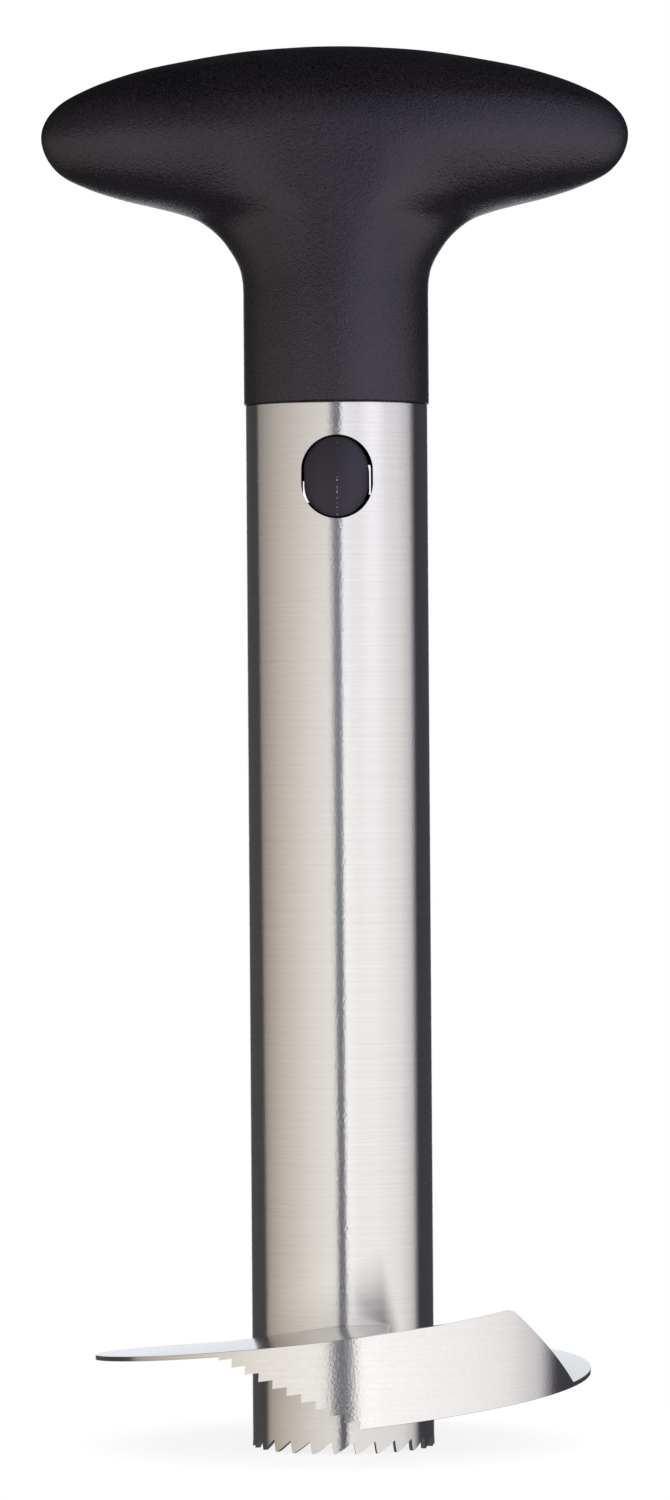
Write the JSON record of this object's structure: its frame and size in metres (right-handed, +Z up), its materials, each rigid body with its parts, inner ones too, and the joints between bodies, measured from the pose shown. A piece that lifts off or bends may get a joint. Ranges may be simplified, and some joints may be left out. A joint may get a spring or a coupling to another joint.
{
  "type": "pineapple slicer",
  "caption": "Pineapple corer and slicer: toothed steel coring tube with a helical ring blade, and a black T handle that lifts off when its sprung buttons are pressed.",
  "frame": {"origin": "on the coring tube's axis, in the plane of the tooth tips on which the tool stands", "axes": "+Z up along the tube to the handle, +X to the right along the T bar, -Y to the front, where the blade's serrated wall is"},
  "size_m": [0.1, 0.0845, 0.2381],
  "materials": {
    "brushed_tube_steel": "finely brushed round the tube, satin",
    "blade_steel": "satin, bright cut edges",
    "black_grip": "matt soft-touch, fine even grain",
    "core_plastic": "plain moulded",
    "button_plastic": "fine matt, faint mould line",
    "spring_steel": "bright drawn wire",
    "screw_steel": "zinc plated"
  },
  "bodies": {
    "tube": {"coring_tube": "brushed_tube_steel", "slicing_blade": "blade_steel"},
    "handle": {"grip_skin": "black_grip", "core_front": "core_plastic", "core_rear": "core_plastic", "core_screw_left": "screw_steel", "core_screw_right": "screw_steel", "core_screw_stem": "screw_steel", "front_button_spring": "spring_steel", "rear_button_spring": "spring_steel"},
    "front_release": {"front_button": "button_plastic"},
    "rear_release": {"rear_button": "button_plastic"}
  },
  "joints": [
    {"name": "handle_lift", "type": "slide", "parent": "tube", "child": "handle", "axis": [0, 0, 1], "range_m": [0, 0.035]},
    {"name": "front_button_press", "type": "slide", "parent": "handle", "child": "front_release", "axis": [0, 1, 0], "range_m": [0, 0.0025], "stiffness_N_per_m": 500, "springref_m": -0.002, "deforming": ["front_button_spring"]},
    {"name": "rear_button_press", "type": "slide", "parent": "handle", "child": "rear_release", "axis": [0, -1, 0], "range_m": [0, 0.0025], "stiffness_N_per_m": 500, "springref_m": -0.002, "deforming": ["rear_button_spring"]}
  ]
}
